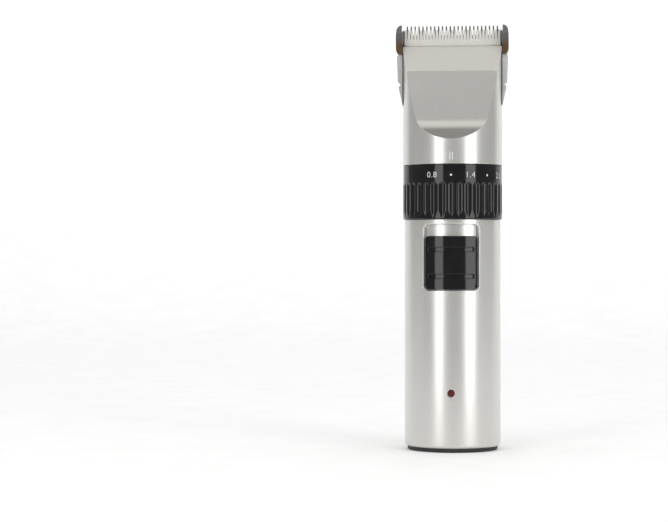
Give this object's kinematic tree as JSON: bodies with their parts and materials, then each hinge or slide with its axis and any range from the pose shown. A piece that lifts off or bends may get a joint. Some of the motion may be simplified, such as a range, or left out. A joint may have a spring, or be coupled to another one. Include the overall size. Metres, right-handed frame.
{
  "type": "beard trimmer",
  "caption": "Round-barrel cordless beard trimmer with a numbered length dial, thumb slide switch and a leaning clip-on blade block over a scooped head.",
  "frame": {"origin": "centre of the flat base", "axes": "+Z from the base to the blade, -Y is the switch side, +X to the right seen from the switch side"},
  "size_m": [0.0456, 0.0404, 0.172],
  "materials": {
    "silver_paint": "satin silver lacquer",
    "black_gloss": "polished black",
    "smoke_gloss": "polished smoked black-brown",
    "black_matte": "fine matt black",
    "grey_plastic": "satin grey",
    "white_plastic": "smooth white",
    "comb_steel": "ground steel",
    "cutter_ceramic": "ground off-white ceramic",
    "screw_steel": "bright steel",
    "spring_steel": "rolled spring steel",
    "motor_steel": "zinc plated",
    "magnet": "dark sintered magnet",
    "bronze": "bronze",
    "board": "green board",
    "cell_wrap": "shrink sleeve",
    "lens_red": "dark red lens"
  },
  "bodies": {
    "casing": {"barrel_shell": "silver_paint", "base_cap": "black_matte", "cap_screws": "screw_steel", "cell_contact_low": "spring_steel", "cell_contacts_top": "spring_steel", "cell_left": "cell_wrap", "cell_right": "cell_wrap", "charge_socket": "black_matte", "chassis": "grey_plastic", "circuit_board": "board", "detent_spring": "spring_steel", "drive_bracket": "spring_steel", "head_screws": "screw_steel", "head_shell": "silver_paint", "indicator_led": "lens_red", "indicator_lens": "lens_red", "lever_pin": "screw_steel", "motor_brushes": "bronze", "motor_bush_front": "bronze", "motor_bush_rear": "bronze", "motor_can": "motor_steel", "motor_end_cap": "white_plastic", "motor_magnet_left": "magnet", "motor_magnet_right": "magnet", "motor_screws": "screw_steel", "side_rail_left": "grey_plastic", "side_rail_right": "grey_plastic", "switch_base": "black_matte", "switch_contacts": "bronze", "switch_floor": "silver_paint"},
    "dial": {"dial_ring": "black_gloss"},
    "switch": {"switch_button": "black_gloss", "switch_slider": "black_matte"},
    "rotor": {"rotor_shaft": "screw_steel", "rotor_core": "motor_steel", "commutator": "bronze", "eccentric": "white_plastic"},
    "lever": {"drive_lever": "white_plastic"},
    "yoke": {"length_yoke": "white_plastic"},
    "blade_block": {"blade_frame": "smoke_gloss", "comb_blade": "comb_steel", "comb_screws": "screw_steel"},
    "cutter_holder": {"cutter_guide": "white_plastic", "pressure_springs": "spring_steel"},
    "cutter": {"cutter_blade": "cutter_ceramic"}
  },
  "joints": [
    {"name": "dial_turn", "type": "hinge", "parent": "casing", "child": "dial", "pos_m": [0, 0, 0.104], "axis": [0, 0, 1], "range_deg": [-67.5, 22.5]},
    {"name": "switch_slide", "type": "slide", "parent": "casing", "child": "switch", "axis": [0, 0, 1], "range_m": [0, 0.0044]},
    {"name": "rotor_spin", "type": "hinge", "parent": "casing", "child": "rotor", "pos_m": [0, 0.001, 0.09], "axis": [0, 0, 1], "continuous": true},
    {"name": "lever_rock", "type": "hinge", "parent": "casing", "child": "lever", "pos_m": [0, 0.001, 0.129], "axis": [0, 1, 0], "range_deg": [-1.5, 1.5]},
    {"name": "yoke_slide", "type": "slide", "parent": "casing", "child": "yoke", "axis": [0, 0, -1], "range_m": [-0.0007, 0.0021]},
    {"name": "blade_lift", "type": "slide", "parent": "casing", "child": "blade_block", "axis": [0, 0.866, 0.5], "range_m": [0, 0.015]},
    {"name": "cutter_retreat", "type": "slide", "parent": "blade_block", "child": "cutter_holder", "axis": [0, 0.5, -0.866], "range_m": [-0.00061, 0.00181]},
    {"name": "cutter_stroke", "type": "slide", "parent": "cutter_holder", "child": "cutter", "axis": [1, 0, 0], "range_m": [-0.00075, 0.00075]}
  ],
  "couplings": [
    {"joint": "yoke_slide", "follows": "dial_turn", "m_per_rad": -0.0017643},
    {"joint": "cutter_retreat", "follows": "dial_turn", "m_per_rad": -0.0015279},
    {"joint": "cutter_stroke", "follows": "lever_rock", "m_per_rad": 0.0277}
  ]
}
